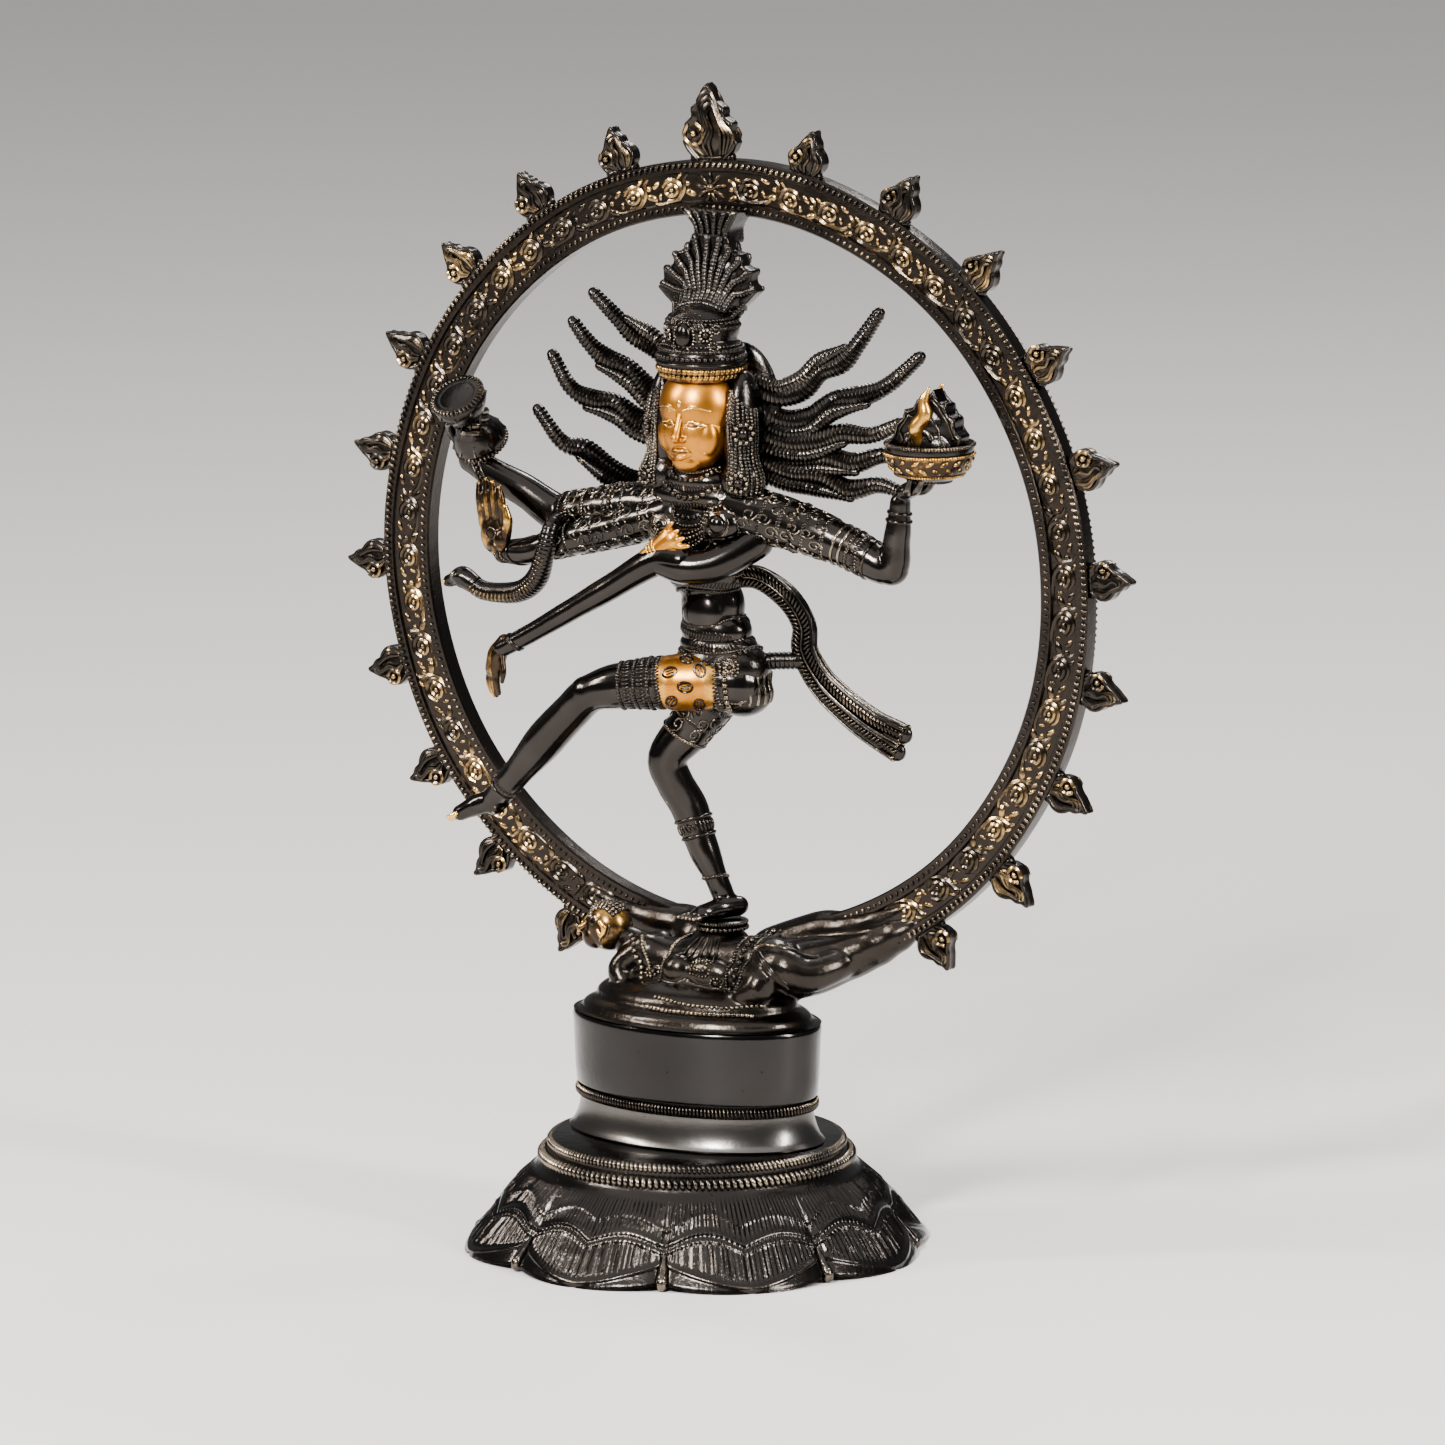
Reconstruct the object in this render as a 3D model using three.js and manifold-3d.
// Cast brass statue: a dancing four-armed figure inside a ring of flames, standing on a small
// dwarf, on a polished oval plinth, on a round lotus skirt. Millimetres, +Z up, the figure
// faces -Y, and the origin is on the floor under the middle of the flame ring.
import * as THREE from "three";
import { mergeVertices } from "three/addons/utils/BufferGeometryUtils.js";
import Module from "manifold-3d";

const wasm = await Module();
wasm.setup();

// Driving dimensions
const skirtRadius = 60.5; // hem of the lotus skirt
const skirtTopRadius = 37;
const skirtHeight = 29;
const petals = 8;
const petalDepth = 3.4; // how far the folds between petals lie behind the petals at the hem
const plinthHalfWidth = 35;
const plinthHalfDepth = 22.5;
const plinthHeight = 31;
const wall = 3; // of the hollow castings of the base
const dwarfHeight = 25; // plinth top to the sole of the standing foot
const ringRadius = 106; // outside of the flame ring, without its flames
const ringBand = 14;
const ringThickness = 5.5;
const ringLean = 3.5; // degrees the ring has turned in its own plane
const flames = 21;
const flamePitch = 15; // degrees
const flameWidth = 11;
const flameHeight = 12;
const topFlameHeight = 19.5;
const studDiameter = 4;
const gap = 0.3; // clearance between neighbouring pieces

// The figure fills the ring from the foot pad to the bracket over the crown, so its scale
// follows the inside of the ring. Its points below are millimetres at a ring opening of 92.
const ringInner = ringRadius - ringBand;
const size = ringInner / 92;
const plinthTop = skirtHeight + plinthHeight;
const foot = new THREE.Vector3(3 * size, 0.27 * plinthHalfDepth, plinthTop + dwarfHeight);
const baseX = foot.x - 0.15 * plinthHalfWidth; // middle of the plinth and skirt
const ringCentre = new THREE.Vector3(-3, 9, 89.5).multiplyScalar(size).add(foot);

// Finishes
const finish = (color, roughness, metalness = 1) =>
  new THREE.MeshStandardMaterial({ color, roughness, metalness });
const patina = finish(0x4a3b2c, 0.42);
const blackened = finish(0x2e2a27, 0.35);
const polished = finish(0xc79a4b, 0.22);
const gunmetal = finish(0x4b4845, 0.2);
const ringBrass = finish(0x6d573a, 0.45);
const flameBrass = finish(0x7d6137, 0.4);
const roughCast = finish(0x5a4636, 0.6);
const steel = finish(0x8d9094, 0.35);

// Solids
function solidOf(geometry) {
  geometry.deleteAttribute("normal");
  geometry.deleteAttribute("uv");
  const welded = mergeVertices(geometry, 1e-4);
  const index = welded.index.array;
  const kept = [];
  for (let i = 0; i < index.length; i += 3) {
    const [a, b, c] = [index[i], index[i + 1], index[i + 2]];
    if (a !== b && b !== c && a !== c) kept.push(a, b, c);
  }
  const build = (triangles) => new wasm.Manifold(new wasm.Mesh({
    numProp: 3,
    vertProperties: welded.attributes.position.array,
    triVerts: new Uint32Array(triangles),
  }));
  const made = build(kept);
  return made.volume() < 0 ? build(kept.reverse()) : made;
}
const join = (...solids) => solids.reduce((all, one) => all.add(one));
const cut = (body, ...tools) => tools.reduce((all, one) => all.subtract(one), body);
const largest = (body) =>
  body.decompose().reduce((a, b) => (a.volume() > b.volume() ? a : b));

function geometryOf(body) {
  const mesh = body.getMesh();
  const places = new Float32Array(mesh.numVert * 3);
  for (let i = 0; i < mesh.numVert; i++)
    for (let k = 0; k < 3; k++)
      places[3 * i + k] = mesh.vertProperties[i * mesh.numProp + k];
  const geometry = new THREE.BufferGeometry()
    .setAttribute("position", new THREE.BufferAttribute(places, 3))
    .setIndex(new THREE.BufferAttribute(mesh.triVerts, 1))
    .toNonIndexed();
  geometry.computeVertexNormals();
  return geometry;
}

// Where a point of the figure is, and where a point of the dwarf is: both measured from the
// sole of the standing foot, the dwarf stretching with the plinth it lies on.
const figure = (x, y, z) => new THREE.Vector3(x, y, z).multiplyScalar(size).add(foot);
const dwarf = (x, y, z) => new THREE.Vector3(
  x * plinthHalfWidth / 35, y * plinthHalfDepth / 22.5, z * dwarfHeight / 25).add(foot);

// A limb: a cylinder bent along a smooth curve through the points. A girth is one radius, or
// two: across the curve in the plane of the ring, and across it front to back.
function limb(points, girths, { place = figure, grow = 0, sides = 8, steps = 2 } = {}) {
  const curve = new THREE.CatmullRomCurve3(points.map((p) => place(...p)), false, "catmullrom", 0.5);
  const rows = (points.length - 1) * steps;
  const shape = new THREE.CylinderGeometry(1, 1, 1, sides, rows);
  const spot = shape.attributes.position;
  const pairs = girths.map((g) => (Array.isArray(g) ? g : [g, g]));
  const back = new THREE.Vector3(0, 1, 0);
  for (let i = 0; i < spot.count; i++) {
    const t = Math.min(Math.max(spot.getY(i) + 0.5, 0), 1);
    const along = t * (points.length - 1);
    const k = Math.min(Math.floor(along), points.length - 2);
    const ease = THREE.MathUtils.smoothstep(along - k, 0, 1);
    const radius = [0, 1].map((n) =>
      THREE.MathUtils.lerp(pairs[k][n], pairs[k + 1][n], ease) * size + grow);
    const centre = curve.getPoint(t);
    const tangent = curve.getTangent(t);
    if (t === 0 || t === 1) centre.addScaledVector(tangent, t ? grow : -grow);
    const side = new THREE.Vector3().crossVectors(tangent, back).normalize();
    const depth = new THREE.Vector3().crossVectors(side, tangent);
    centre.addScaledVector(side, spot.getX(i) * radius[0]);
    centre.addScaledVector(depth, spot.getZ(i) * radius[1]);
    spot.setXYZ(i, centre.x, centre.y, centre.z);
  }
  return solidOf(shape);
}

// A body of level oval sections, each [x, y, z, half width, half depth], rounded off by curves.
function stack(sections, { place = figure, grow = 0, sides = 14, steps = 2 } = {}) {
  const spine = new THREE.CatmullRomCurve3(sections.map((s) => place(s[0], s[1], s[2])));
  const girth = new THREE.CatmullRomCurve3(sections.map((s) => new THREE.Vector3(s[3], s[4], 0)));
  const shape = new THREE.CylinderGeometry(1, 1, 1, sides, (sections.length - 1) * steps);
  const spot = shape.attributes.position;
  for (let i = 0; i < spot.count; i++) {
    const t = Math.min(Math.max(spot.getY(i) + 0.5, 0), 1);
    const centre = spine.getPoint(t);
    const radius = girth.getPoint(t).multiplyScalar(size);
    spot.setXYZ(i,
      centre.x + spot.getX(i) * (radius.x + grow),
      centre.y + spot.getZ(i) * (radius.y + grow),
      centre.z + (t === 1 ? grow : t === 0 ? -grow : 0));
  }
  return solidOf(shape);
}

function ball([x, y, z], [a, b, c], { place = figure, grow = 0, tilt = 0 } = {}) {
  const centre = place(x, y, z);
  const shape = new THREE.SphereGeometry(1, 12, 8);
  shape.scale(a * size + grow, b * size + grow, c * size + grow);
  shape.rotateY(THREE.MathUtils.degToRad(tilt));
  return solidOf(shape.translate(centre.x, centre.y, centre.z));
}

// A plate standing in the plane of the ring: an outline of [x, z] points, and its depth.
function plate(outline, front, thickness, place) {
  const shape = new THREE.Shape(outline.map(([x, z]) => new THREE.Vector2(x, z)));
  const body = new THREE.ExtrudeGeometry(shape, { depth: thickness, bevelEnabled: false });
  body.rotateX(Math.PI / 2); // the outline's second axis to +Z, its depth towards -Y
  body.translate(0, front + thickness, 0);
  if (place) body.applyMatrix4(place);
  return solidOf(body);
}

function turned(profile, sides = 24) {
  const shape = new THREE.LatheGeometry(profile.map(([r, z]) => new THREE.Vector2(r, z)), sides);
  return shape.rotateX(Math.PI / 2);
}

// Lotus skirt: a flared shell with a flat top plate, eight petals bulging towards the hem.
const plateHole = 0.35 * plinthHalfDepth;
const studOffset = 0.52 * plinthHalfWidth;
function lotusSkirt() {
  const flare = skirtRadius - skirtTopRadius;
  const side = [[0, 1], [0.06, 0.97], [0.06, 0.9], [0.02, 0.87], [0.12, 0.85], [0.13, 0.77],
    [0.1, 0.74], [0.24, 0.72], [0.46, 0.54], [0.74, 0.27], [0.93, 0.08], [1, 0]];
  const outer = side.map(([out, up]) => [skirtTopRadius + flare * out, skirtHeight * up]);
  const inner = outer.slice(-5).reverse()
    .map(([r, z]) => [r - wall, Math.min(z, skirtHeight - wall)]);
  const profile = [[plateHole, skirtHeight], ...outer, ...inner,
    [skirtTopRadius - wall, skirtHeight - wall], [plateHole, skirtHeight - wall],
    [plateHole, skirtHeight]];
  const shell = turned(profile, petals * 4);
  const spot = shell.attributes.position;
  for (let i = 0; i < spot.count; i++) {
    const [x, y, z] = [spot.getX(i), spot.getY(i), spot.getZ(i)];
    const radius = Math.hypot(x, y);
    const fold = 1 - Math.abs(Math.cos(0.5 * petals * Math.atan2(x, -y)));
    const low = Math.max(0, 1 - z / (0.72 * skirtHeight));
    const share = radius > skirtTopRadius - wall ? 1 - petalDepth * fold * low / radius : 1;
    spot.setXYZ(i, x * share + baseX, y * share, z);
  }
  let body = solidOf(shell);
  for (const end of [-1, 1])
    body = cut(body, post(end * studOffset, 0, studDiameter / 2 + gap, 0, skirtHeight + 1));
  return body;
}
function post(x, y, radius, low, high, sides = 16) {
  const shape = new THREE.CylinderGeometry(radius, radius, high - low, sides);
  return solidOf(shape.rotateX(Math.PI / 2).translate(x + baseX, y, (low + high) / 2));
}

// Plinth: an oval hollow casting with a polished lower band, a rope waist and a tall polished
// upper band; two bosses under its top take the studs.
const plinthFloor = skirtHeight + gap;
const bossDepth = 0.5 * plinthHeight;
function plinth() {
  const a = plinthHalfWidth;
  const h = plinthHeight;
  const outer = [[1.03 * a, 0], [1.03 * a, 0.05 * h], [0.985 * a, 0.1 * h], [0.97 * a, 0.28 * h],
    [0.925 * a, 0.31 * h], [0.945 * a, 0.35 * h], [0.925 * a, 0.39 * h], [0.97 * a, 0.42 * h],
    [0.985 * a, 0.7 * h], [a, 0.96 * h], [0.985 * a, h]];
  const hollow = h - wall;
  const profile = [[0, h], ...outer.reverse(), [1.03 * a - wall, 0],
    [0.925 * a - wall, 0.35 * h], [0.96 * a - wall, hollow - 1], [0.9 * a - wall, hollow],
    [0, hollow]];
  const shell = turned(profile.map(([r, z]) => [r, z ? z + skirtHeight : plinthFloor]), 32);
  shell.scale(1, plinthHalfDepth / plinthHalfWidth, 1).translate(baseX, 0, 0);
  let body = solidOf(shell);
  for (const end of [-1, 1])
    body = join(body, post(end * studOffset, 0, studDiameter + 0.8,
      plinthTop - wall - bossDepth, plinthTop - wall + 0.5));
  for (const end of [-1, 1])
    body = cut(body, post(end * studOffset, 0, studDiameter / 2 + gap,
      0, plinthTop - wall - 1));
  return body;
}

// Fixings: a stud in each boss, with a washer and a nut under the top plate of the skirt.
const washerThickness = 0.2 * studDiameter;
const nutHeight = 0.8 * studDiameter;
const washerTop = skirtHeight - wall - gap;
const nutTop = washerTop - washerThickness - gap;
const stud = (x) => post(x, 0, studDiameter / 2,
  nutTop - nutHeight - 0.5 * studDiameter, plinthTop - wall - 1 - gap);
const ringOf = (x, outside, low, high, sides) => cut(
  post(x, 0, outside, low, high, sides),
  post(x, 0, studDiameter / 2 + gap, low - 1, high + 1));
const washer = (x) => ringOf(x, 1.1 * studDiameter, washerTop - washerThickness, washerTop, 20);
const nut = (x) => ringOf(x, studDiameter, nutTop - nutHeight, nutTop, 6);

// Flame ring: a flat band with raised borders. Its ends come down behind the dwarf, over the
// back of the plinth.
const ringGap = THREE.MathUtils.radToDeg(
  Math.asin(0.6 * plinthHalfWidth / (ringRadius - ringBand / 2)));
const inRing = new THREE.Matrix4().makeTranslation(ringCentre.x, ringCentre.y, ringCentre.z)
  .multiply(new THREE.Matrix4().makeRotationY(-THREE.MathUtils.degToRad(ringLean)));
function sector(inner, outer, reach, front, thickness) {
  const steps = 60;
  const arc = (radius, n) => {
    const angle = THREE.MathUtils.degToRad(reach * (2 * n / steps - 1));
    return [radius * Math.sin(angle), radius * Math.cos(angle)];
  };
  const rows = [...Array(steps + 1).keys()];
  const outline = [...rows.map((n) => arc(outer, n)), ...rows.reverse().map((n) => arc(inner, n))];
  return plate(outline, front, thickness, inRing);
}
function flameRing(grow = 0) {
  const reach = 180 - ringGap;
  const half = ringThickness / 2 + grow;
  const band = sector(ringInner - grow, ringRadius + grow, reach + grow / 2, -half, 2 * half);
  if (grow) return band;
  const recess = 0.14 * ringThickness;
  const field = [ringInner + 0.28 * ringBand, ringRadius - 0.2 * ringBand, reach - 2];
  return cut(band, sector(...field, -half - 1, 1 + recess),
    sector(...field, half - recess, 1 + recess));
}

// A flame: a pointed leaf with a curl on one side, brazed to the outside of the ring.
function flame(angle, width, height, tiers) {
  const half = width / 2;
  const left = [[-0.62, 0], [-1, 0.2], [-0.95, 0.36], [-0.7, 0.46]];
  const right = [[0.78, 0.52], [0.98, 0.34], [0.94, 0.2], [0.62, 0]];
  const neck = tiers > 1
    ? [[-0.78, 0.58], [-0.42, 0.68], [-0.46, 0.8], [0.06, 1], [0.34, 0.82], [0.36, 0.7], [0.7, 0.62]]
    : [[-0.46, 0.66], [-0.3, 0.8], [0.12, 1], [0.34, 0.78]];
  const outline = [...left, ...neck, ...right]
    .map(([x, z]) => [x * half, ringRadius + gap + z * height]);
  const thickness = 0.8 * ringThickness;
  const turn = new THREE.Matrix4().makeRotationY(THREE.MathUtils.degToRad(angle));
  return plate(outline, -thickness / 2, thickness, inRing.clone().multiply(turn));
}

// The dwarf lies across the plinth on a low rocky mound; the ring's ends are let into it.
const footPad = (grow = 0) => {
  const shape = turned([[0, -2.8 * size - grow], [6.2 * size + grow, -2.8 * size - grow],
    [7 * size + grow, -1.6 * size], [6.6 * size + grow, grow], [0, grow]], 20);
  return solidOf(shape.translate(foot.x - 0.5 * size, foot.y - 1.2 * size, foot.z));
};
const onDwarf = (grow = 0) => ({ place: dwarf, grow });
const dwarfHead = (grow = 0) => join(
  ball([-31, -8, -3.4], [5.4, 5.2, 6], { ...onDwarf(grow), tilt: -18 }),
  ball([-33.5, -10.6, -6.6], [2.4, 2.2, 2], onDwarf(grow)));
function dwarfBody() {
  const floor = -dwarfHeight + gap;
  const mound = stack([[-5.3, -6, -25, 29.5, 17.5], [-5.3, -5.5, -21, 29, 16.5],
    [-5, -5, -17, 27, 15], [-4, -3, -13.5, 22, 12]], { place: dwarf, sides: 20, steps: 1 });
  const body = limb([[-24, -7.4, -9], [-14, -6, -12.5], [-3, -5.5, -11], [9, -5, -10], [19, -4, -9]],
    [4.4, 6.8, 7, 6.8, 5.6], { place: dwarf });
  const thigh = limb([[14, -5, -9], [22, -8.5, -9.5], [28, -6, -11.5], [33, 2, -9], [30, 9, -8.6]],
    [5.6, 5, 3.6, 3.2, 3], { place: dwarf });
  const shin = limb([[10, -8, -12], [18, -12, -14], [8, -13.5, -19]], [5, 4.2, 3], { place: dwarf });
  const arm = limb([[-20, -9, -8], [-25, -12, -14], [-18, -13.5, -20.5]], [3.4, 2.8, 2.3],
    { place: dwarf });
  const cloth = ball([-0.5, -2, -7.5], [8.5, 8, 6.5], { place: dwarf });
  const back = stack([[-5, 5, -22, 26, 8], [-5, 8, -15, 24, 6.5], [-5, 8.6, -9.5, 21, 4.5]],
    { place: dwarf, steps: 1 });
  const whole = join(mound, body, thigh, shin, arm, cloth, back);
  const under = post(0, 0, 4 * skirtRadius, plinthTop - 40, plinthTop + gap + floor + dwarfHeight - gap);
  return largest(cut(whole, under, footPad(gap), dwarfHead(gap), flameRing(gap)));
}

// The dancing figure
const torso = (grow = 0) => join(
  stack([[-1.6, -2, 75, 9.4, 7], [-2.6, -2, 81, 8.8, 6.6], [-4.4, -3, 90, 11, 7.6],
    [-5.6, -3.6, 99, 14, 8.8], [-6, -3.2, 106, 16, 7.4], [-5.6, -3, 111, 9, 6]], { grow }),
  limb([[-5.5, -3, 108], [-5, -4, 114], [-4.7, -5, 121]], [5.6, 4.8, 4.8], { grow }),
  ball([2.2, -9.6, 102.5], [5, 3.4, 4.6], { grow }),
  ball([-12, -9.4, 102], [5, 3.2, 4.6], { grow }));
const waistcloth = (grow = 0) => join(
  stack([[-0.4, -2, 55.5, 9, 7.5], [0.4, -2.5, 60, 13.6, 9.6], [0.4, -2.4, 66, 13.4, 9],
    [-0.6, -2.2, 71, 11.2, 8.2], [-1.4, -2, 74.6, 10, 7.6]], { grow }),
  ball([8, -8.4, 68.5], [3.6, 2.6, 3.6], { grow }));
const head = (grow = 0) => join(
  stack([[-4.6, -9.4, 117.6, 3, 3], [-4.6, -8.6, 119.6, 6, 6.2], [-4.6, -7.4, 124, 8.2, 8.2],
    [-4.6, -6.4, 130, 9.6, 9.6], [-4.6, -5.8, 136, 9.8, 10.2], [-4.6, -5, 142, 9.4, 9.8],
    [-4.6, -4.4, 145.5, 8, 8.4]], { grow, steps: 2 }),
  limb([[-4.6, -15.4, 132.4], [-4.6, -17.6, 127.2], [-4.6, -15.6, 126]], [1, 1.7, 1.2],
    { grow, sides: 8, steps: 2 }),
  ball([-14.6, -5, 128.6], [1.6, 2.6, 4.4], { grow }),
  ball([5.4, -5, 128.6], [1.6, 2.6, 4.4], { grow }));
const crownFan = [[-7, 154], [-10.6, 157], [-15.2, 158.5], [-17.6, 163], [-16.4, 168.5],
  [-12.8, 172], [-9.6, 177.5], [0, 177.5], [3.2, 172.4], [7.4, 169.6], [8.8, 164], [6.6, 159],
  [1.6, 157.4], [-1.4, 154]];
const inFigure = new THREE.Matrix4().makeTranslation(foot.x, foot.y, foot.z)
  .multiply(new THREE.Matrix4().makeScale(size, size, size));
const crown = (grow = 0) => join(
  stack([[-4.6, -4.6, 142.6, 11, 11], [-4.6, -4.6, 147, 11.2, 11.2], [-4.6, -4.2, 151, 9.8, 9.6],
    [-4.6, -3.6, 156, 8.8, 8], [-4.6, -2, 160, 6.4, 5]], { grow, steps: 2 }),
  plate(crownFan.map(([x, z]) => [x * (1 + grow / 14) + 4.6 * grow / 14, z + (z > 165 ? grow : -grow)]),
    -1.6 - grow, 6.2 + 2 * grow, inFigure),
  ball([-4.6, -11.6, 153.2], [2.4, 2, 3.8], { grow }));
const crownBracket = () => largest(cut(
  plate([[-9, 176.4], [-0.6, 176.4], [0.4, 179], [2.4, 184.5], [-13.4, 184.5], [-10.4, 179]],
    0, 10.6, inFigure), crown(gap), flameRing(gap)));

// Hair: locks flying out from a flat bun behind the head, half to either side.
const bunPlate = (side, grow = 0) => {
  const rows = [...Array(13).keys()];
  const arc = rows.map((n) => {
    const angle = Math.PI * n / 12;
    return [-4.6 + side * (gap / 2 - grow + (17 + grow) * Math.sin(angle)),
      131 - (19 + grow) * Math.cos(angle)];
  });
  return plate(side < 0 ? arc.reverse() : arc, 4.6 - grow, 3 + 2 * grow, inFigure);
};
const leftLocks = [
  [[-14, 140], [-27, 146.5], [-36, 152.6], [-43, 157.6]],
  [[-15, 128], [-27, 132.6], [-39, 141], [-50, 149]],
  [[-16, 121], [-30.5, 124.6], [-38.5, 128.4], [-48, 131.4], [-55.6, 139.4]],
  [[-15, 116.5], [-27, 110.4], [-37, 110.6], [-49.5, 119.3], [-60, 125.6]],
];
const rightLocks = [
  [[5, 137], [17.6, 137], [28.4, 146], [35, 153.4], [41.6, 159.4]],
  [[6, 128], [19, 128.4], [33.8, 137.6], [44, 142.6], [54.4, 149.2]],
  [[6, 123.6], [21.8, 123.9], [32, 124.4], [42, 128.6], [50, 129.7]],
  [[5, 119], [17.6, 120.4], [29, 117], [42.6, 115.8]],
];
const hairFan = (side, locks) => largest(cut(join(bunPlate(side), ...locks.map((lock) => limb(
  lock.map(([x, z]) => [x, 6.1, z]), lock.map((_, n) => (n ? 2.2 - 0.3 * n : 2.4)), { sides: 8 }))),
  head(gap), crown(gap), torso(gap), drumArm(gap), fireArm(gap)));

// Legs
const standingLeg = (grow = 0) => join(
  limb([[1, -1, 64], [-8.4, -3, 50], [-14.6, -6, 40.6], [-8.6, -1.4, 23], [-2.6, 0, 9.6],
    [-1, 1.6, 3.6]], [7.4, 5.8, 5.3, 4.2, 3, 3], { grow }),
  limb([[1.6, 3.4, 3], [-1, -1.4, 3], [-4.6, -8, 1.9]], [[2.6, 2.8], [2.8, 3], [1.5, 3]], { grow }));
const liftedLeg = (grow = 0) => join(
  limb([[6, -4, 62.4], [-12, -11.4, 62], [-23, -14.6, 60.6], [-32.4, -16, 58], [-47, -12.6, 44.4],
    [-58, -9.8, 33.4], [-66, -8, 26.2]], [7.2, 6.6, 5.8, 4.7, 4.8, 3.7, 2.9], { grow }),
  limb([[-65, -7, 26], [-71, -8.6, 23.4], [-78.6, -10.6, 19.4]], [3.1, 2.7, 1.4], { grow }));

// Arms and what they hold
const drumArm = (grow = 0) => join(
  limb([[-15, -2.6, 106.5], [-34, -2.6, 104], [-50, -2, 101.6], [-59, -3, 106.6], [-69, -3.6, 110.8],
    [-75.4, -3.6, 113.4]], [5.6, 4.8, 4.2, 3.4, 3, 2.5], { grow }),
  ball([-75.8, -2.6, 119.4], [3.6, 3.2, 5.6], { grow }),
  limb([[-76.6, -6.4, 119], [-77.4, -9.4, 122.6], [-75.2, -10.6, 126.4]], [1.4, 1.3, 1],
    { grow, sides: 8 }));
const drum = (grow = 0) => {
  const shape = turned([[0, -10.2], [6.6, -10.2], [7.2, -8.4], [3.4, -1], [3.4, 1], [7.2, 8.4],
    [6.6, 10.2], [0, 10.2]].map(([r, z]) => [
    r && r * size + grow, z * size + Math.sign(z) * grow]), 16);
  const centre = figure(-74.4, -6.2, 126);
  return solidOf(shape.rotateY(-0.12).translate(centre.x, centre.y, centre.z));
};
const blessingArm = (grow = 0) => join(
  limb([[-15, -6.4, 104.6], [-31, -7.6, 99.4], [-45, -8.6, 95.4], [-53, -11, 92.6],
    [-59.6, -13.4, 92.4]], [4.6, 4, 3.7, 2.9, 2.5], { grow }),
  ball([-61.2, -14.2, 97.4], [4.2, 2.2, 6], { grow }),
  ...[-1.5, -0.5, 0.5, 1.5].map((n) => limb([[-61.4 + 2.2 * n, -14.4, 100],
    [-62 + 2.2 * n, -15.4, 106], [-62.8 + 2.1 * n, -15, 110.6 - 1.1 * Math.abs(n)]],
  [1.2, 1.1, 0.8], { grow, sides: 6, steps: 1 })),
  limb([[-58, -14.6, 96], [-56.2, -16.2, 101], [-56.8, -16.6, 104.4]], [1.5, 1.3, 0.9],
    { grow, sides: 6, steps: 2 }));
const snake = () => largest(cut(join(
  limb([[-45, -14, 99.8], [-46, -14.4, 93], [-49.4, -13, 86], [-56, -11.6, 81.8], [-66, -11, 81],
    [-73, -11, 83.6], [-78, -11, 83]], [2, 2.9, 3.2, 3.1, 2.8, 3.2, 1.3], {}),
  limb([[-45, -14, 99.8], [-45.4, -9, 101.6], [-46, -4.6, 99.4]], [2, 1.7, 1], { sides: 8 })),
  blessingArm(gap), drumArm(gap)));
const fireArm = (grow = 0) => join(
  limb([[6, -3.4, 107.4], [27, -3, 103.6], [50, -2, 96], [52.2, -2.6, 104], [53.6, -3, 116.6]],
    [5.8, 5.2, 4.4, 3.3, 2.7], { grow }),
  ball([57, -3, 117.4], [5.6, 3.8, 3], { grow, tilt: 8 }),
  limb([[60, -6, 117.6], [64, -7.4, 119.4]], [1.4, 1.1], { grow, sides: 8 }));
const bowlCentre = figure(62, -3, 119.4);
const fireBowl = (grow = 0) => {
  const cup = [[0, 0], [5.4, 0.4], [9.4, 3.4], [10.8, 7], [11.4, 10.6]];
  const hollow = [[9.8, 10.6], [9.2, 7.4], [7.8, 4.6], [4.6, 2.4], [0, 2]];
  const profile = grow ? [...cup, [0, 10.6]] : [...cup, ...hollow];
  const shape = turned(profile.map(([r, z], n) =>
    [r && r * size + grow, z * size + (z > 10 ? grow : n ? 0 : -grow)]), 20);
  return solidOf(shape.translate(bowlCentre.x, bowlCentre.y, bowlCentre.z));
};
const bowlFlame = () => {
  const rest = 121.8 + gap / size;
  return join(
    limb([[62, -3, rest], [62, -3, rest + 4.4], [60.8, -3, 132], [63.4, -3, 138],
      [64.6, -3, 145]], [2.4, 5.6, 5.2, 3.2, 0.7]),
    limb([[64, -3, 128], [69, -3, 133], [70.6, -3, 139]], [3.6, 2.6, 0.6], { sides: 8 }),
    limb([[60, -3, 129], [55.6, -3, 132.6], [58.6, -3, 138.6]], [3.2, 2.4, 0.6], { sides: 8 }));
};
const crossingArm = (grow = 0) => join(
  limb([[9, -6.8, 103.4], [4.4, -12.4, 98.6], [-6, -16.6, 96.4], [-14, -17.4, 96.2],
    [-36, -18.4, 84.2], [-55.4, -20, 69.4]], [4.6, 4.4, 4, 3.5, 2.9, 2.2], { grow }),
  limb([[-54.6, -19.8, 70.2], [-57.4, -20.2, 64.4], [-57, -20.4, 56.4]],
    [[2.3, 2], [2.8, 1.8], [1.3, 1]], { grow }));

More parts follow.
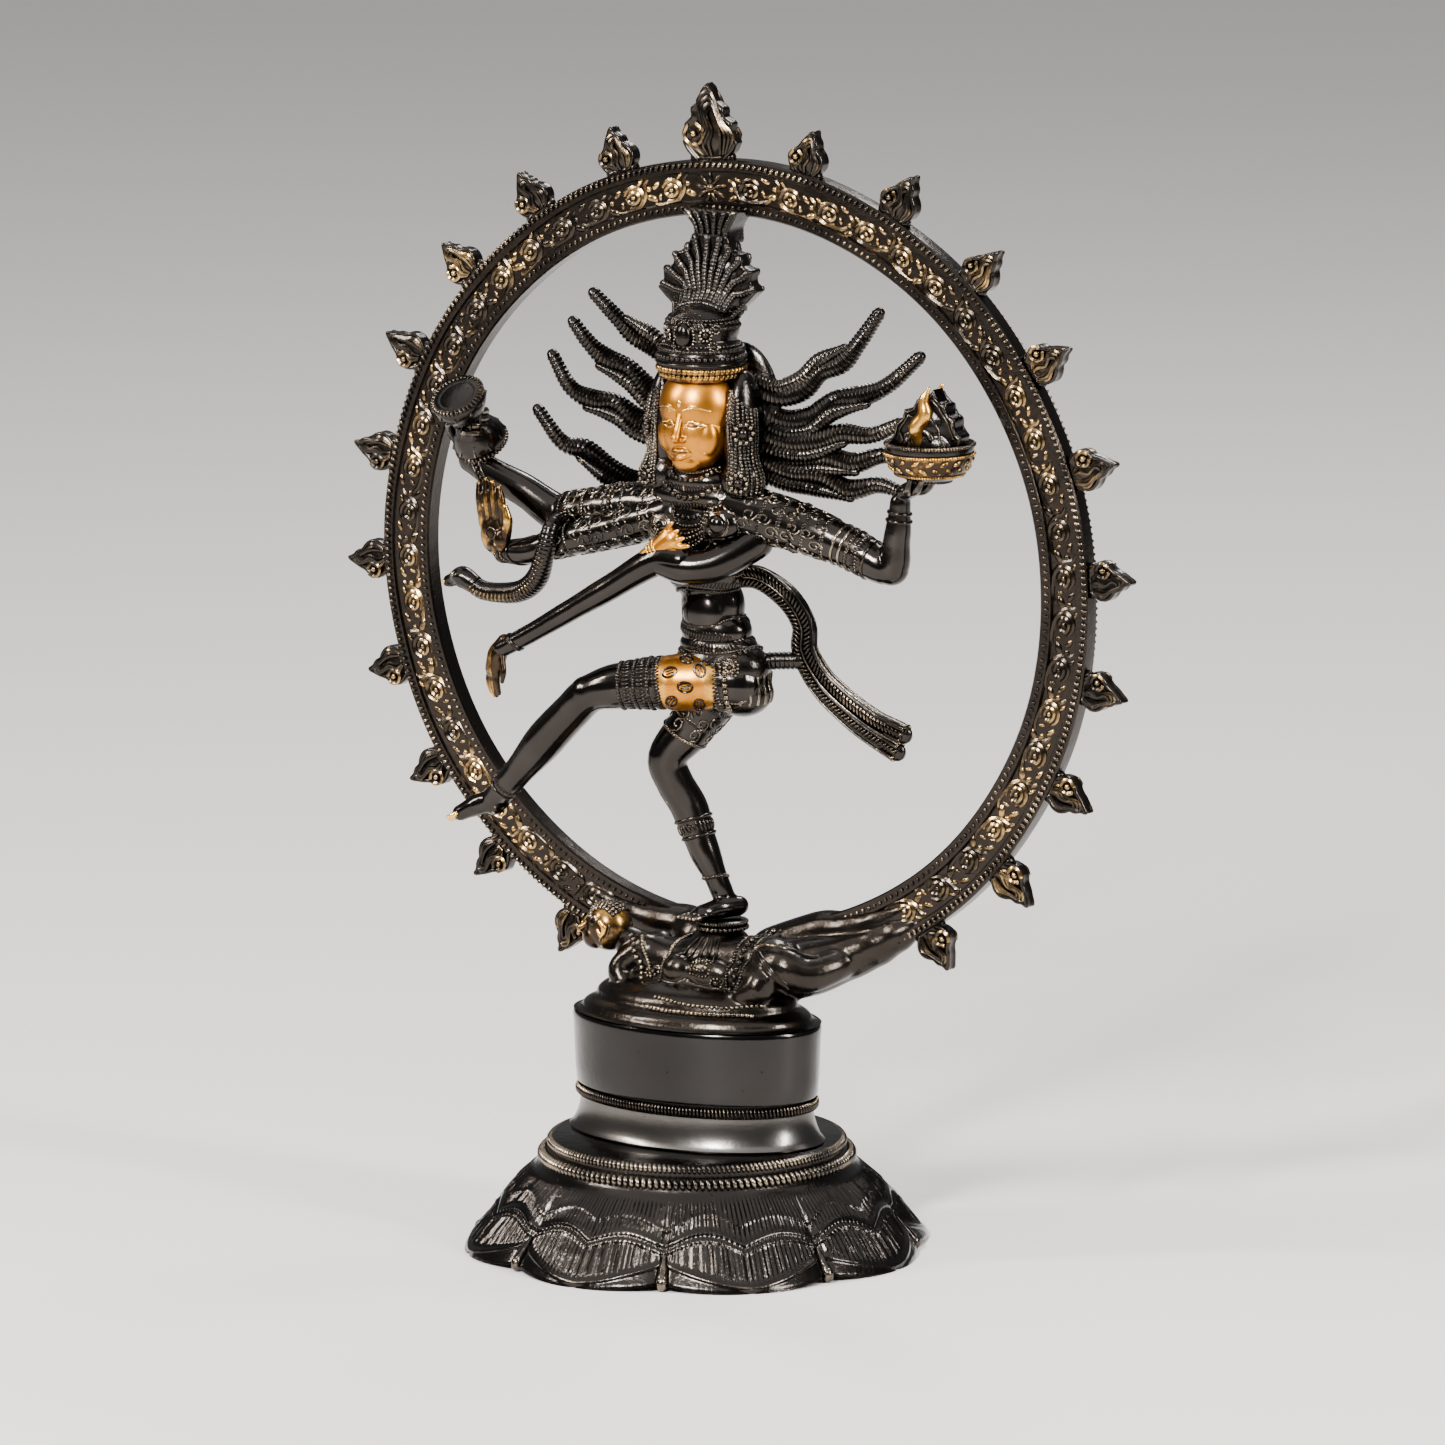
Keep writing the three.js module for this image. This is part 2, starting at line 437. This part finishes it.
// Sash: a pleated scarf from under the arm, looping down and out to a flared end.
const sash = () => largest(cut(join(
  limb([[1, 0, 89], [9, 1.4, 89.4], [17.4, 2, 84.6], [21.6, 3, 72], [31.2, 3, 60], [41, 3, 54],
    [49.6, 3, 50.4]], [[2.2, 2], [2.4, 2], [2.6, 1.8], [2.8, 1.7], [3.2, 1.6], [3.8, 1.5], [5, 1.3]]),
  limb([[9, 0.4, 67], [15, 1.4, 68.2], [21.6, 2.8, 68.8]], [1.7, 1.5, 1.7], { sides: 8 })),
  torso(gap), waistcloth(gap), fireArm(gap)));

// The assembly: each piece is cut back where it meets a neighbour made before it.
const statue = new THREE.Group();
function add(name, body, material) {
  const mesh = new THREE.Mesh(geometryOf(body), material);
  mesh.name = name;
  statue.add(mesh);
}
add("lotus_skirt", lotusSkirt(), patina);
add("plinth", plinth(), gunmetal);
for (const [side, x] of [["left", -studOffset], ["right", studOffset]]) {
  add(`stud_${side}`, stud(x), steel);
  add(`washer_${side}`, washer(x), steel);
  add(`nut_${side}`, nut(x), steel);
}
add("dwarf_body", dwarfBody(), roughCast);
add("dwarf_head", dwarfHead(), polished);
add("foot_pad", footPad(), patina);
add("flame_ring", flameRing(), ringBrass);
for (let n = 0; n < flames; n++) {
  const turn = n - (flames - 1) / 2;
  const body = turn
    ? flame(turn * flamePitch, flameWidth, flameHeight, 1)
    : flame(0, 1.5 * flameWidth, topFlameHeight, 2);
  add(`flame_${String(n + 1).padStart(2, "0")}`, body, flameBrass);
}
add("torso", torso(), blackened);
add("waistcloth", largest(cut(waistcloth(), torso(gap))), patina);
add("head", largest(cut(head(), torso(gap))), polished);
add("crown", largest(cut(crown(), head(gap))), patina);
add("crown_bracket", crownBracket(), patina);
add("hair_left", hairFan(-1, leftLocks), blackened);
add("hair_right", hairFan(1, rightLocks), blackened);
add("standing_leg", largest(cut(standingLeg(), waistcloth(gap), footPad(gap))), blackened);
add("lifted_leg", largest(cut(liftedLeg(), waistcloth(gap), standingLeg(gap))), patina);
add("drum_arm", largest(cut(drumArm(), torso(gap), drum(gap))), blackened);
add("drum", drum(), patina);
add("blessing_arm", largest(cut(blessingArm(), torso(gap), drumArm(gap))), blackened);
add("snake", snake(), polished);
add("fire_arm", largest(cut(fireArm(), torso(gap), fireBowl(gap))), blackened);
add("fire_bowl", fireBowl(), polished);
add("bowl_flame", largest(bowlFlame()), blackened);
add("crossing_arm", largest(cut(crossingArm(), torso(gap), fireArm(gap))), polished);
add("sash", sash(), patina);
export default statue;
